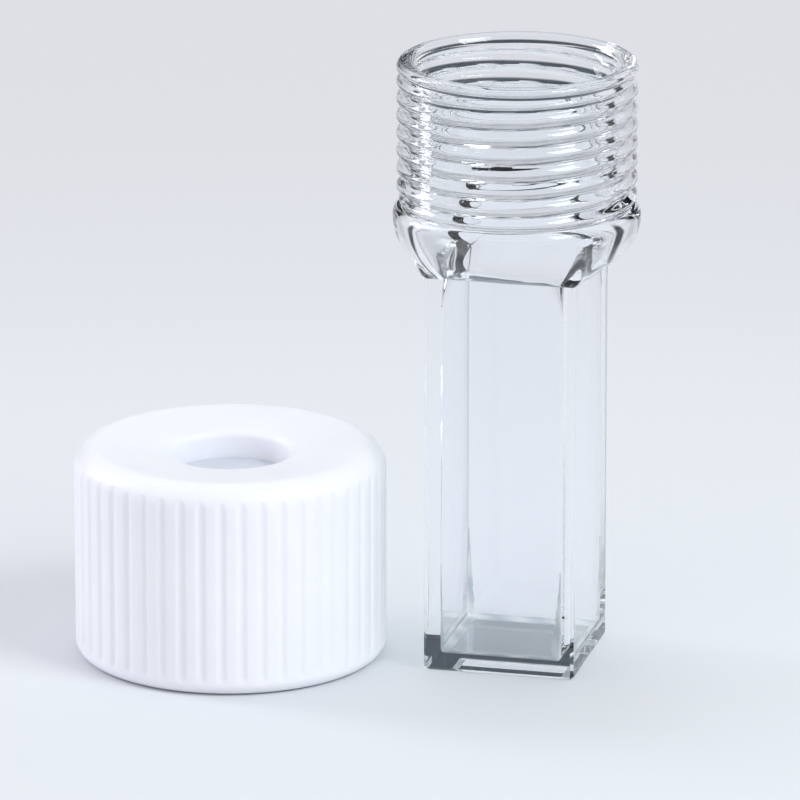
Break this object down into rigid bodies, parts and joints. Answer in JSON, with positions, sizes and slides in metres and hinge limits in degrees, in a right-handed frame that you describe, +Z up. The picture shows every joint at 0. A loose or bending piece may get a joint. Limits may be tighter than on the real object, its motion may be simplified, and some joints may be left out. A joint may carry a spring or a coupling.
{
  "type": "cuvette",
  "caption": "Clear square quartz cell with a threaded round neck, and its ribbed open-top screw cap with a septum standing beside it.",
  "frame": {"origin": "centre of the cell's base, on the surface that the cell and the cap stand on", "axes": "+Z up along the cell's axis, +X and -Y square to two of its windows, and the cap stands towards -X"},
  "size_m": [0.0456, 0.0272, 0.0502],
  "materials": {
    "quartz": "polished clear fused quartz with a fire-polished neck",
    "cap_plastic": "white moulded polypropylene with fine grip ribs",
    "septum_rubber": "off-white silicone sheet"
  },
  "bodies": {
    "root": {"cell": "quartz", "septum": "septum_rubber", "screw_cap": "cap_plastic"}
  },
  "joints": []
}
